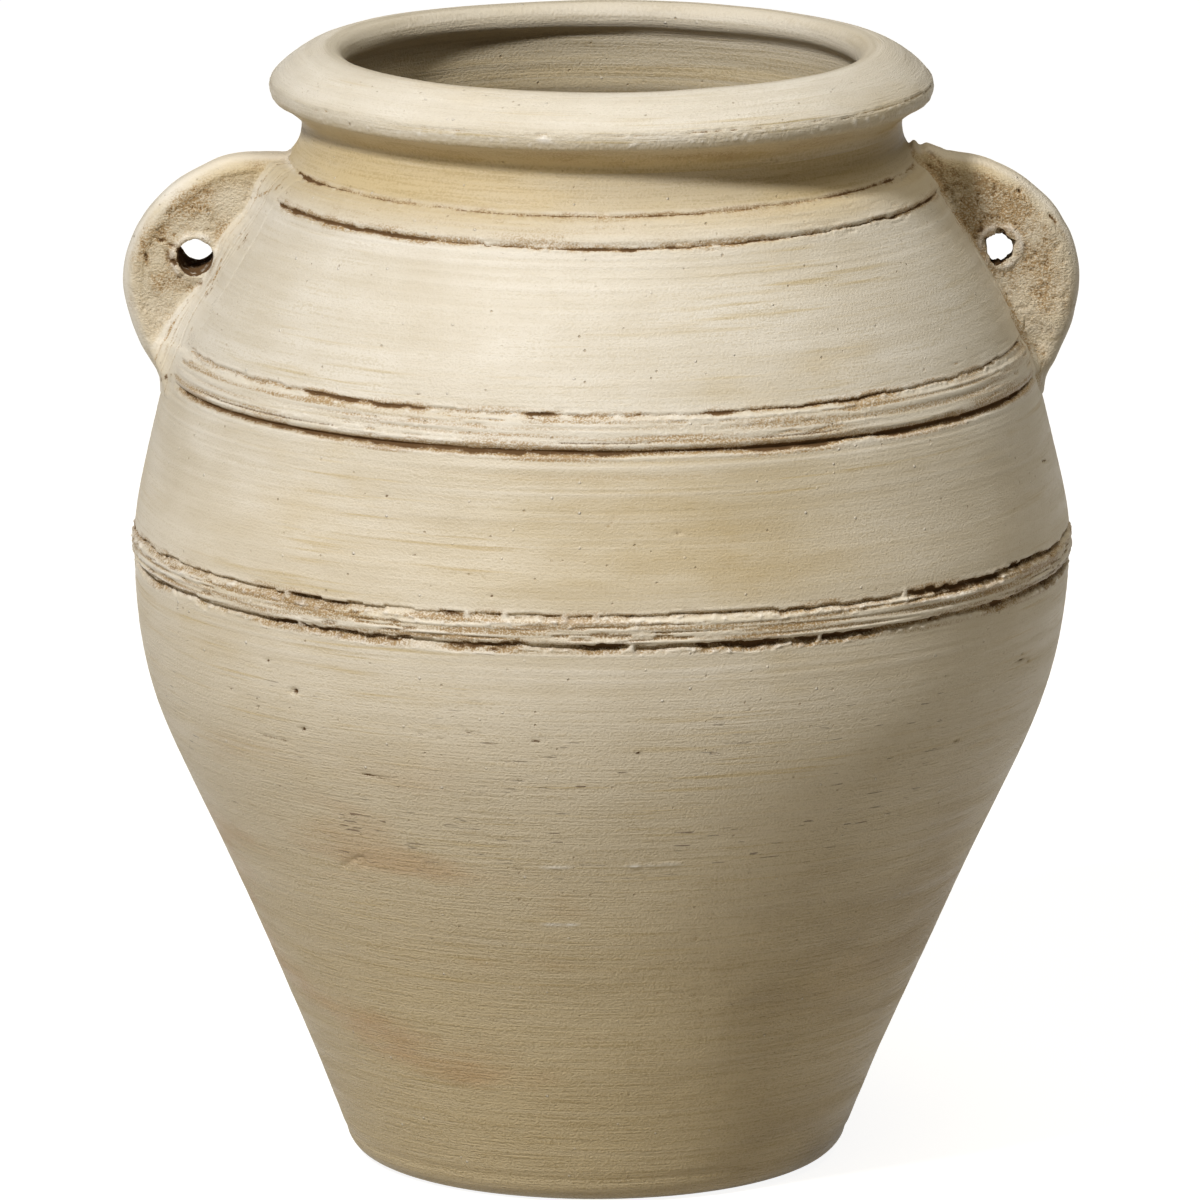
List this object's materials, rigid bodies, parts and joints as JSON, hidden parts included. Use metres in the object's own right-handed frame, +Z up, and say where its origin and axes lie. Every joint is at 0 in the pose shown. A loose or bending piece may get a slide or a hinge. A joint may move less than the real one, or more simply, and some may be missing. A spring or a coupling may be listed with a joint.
{
  "type": "greek pithos",
  "caption": "Wide-bellied clay storage jar with a rolled rim, combed bands over its joins and a pair of pierced flat lugs on the shoulder.",
  "frame": {"origin": "centre of the base on the floor", "axes": "+Z up along the jar's axis, X through both lugs, the pictured front faces -Y"},
  "size_m": [0.4232, 0.4184, 0.5],
  "materials": {
    "slipped_clay": "satin cream slip with fine wheel lines and a warm grey-brown wash low down",
    "combed_band": "satin cream slip, combed, with dark umber wash caught in the lines",
    "lug_clay": "cream slip over grainy hand-pressed clay, stained brown round the hole"
  },
  "bodies": {
    "root": {"base_disc": "slipped_clay", "foot_wall": "slipped_clay", "lower_wall": "slipped_clay", "upper_wall": "slipped_clay", "shoulder": "slipped_clay", "neck": "slipped_clay", "rim": "slipped_clay", "belly_band": "combed_band", "shoulder_band": "combed_band", "neck_band": "combed_band", "left_lug": "lug_clay", "right_lug": "lug_clay"}
  },
  "joints": []
}
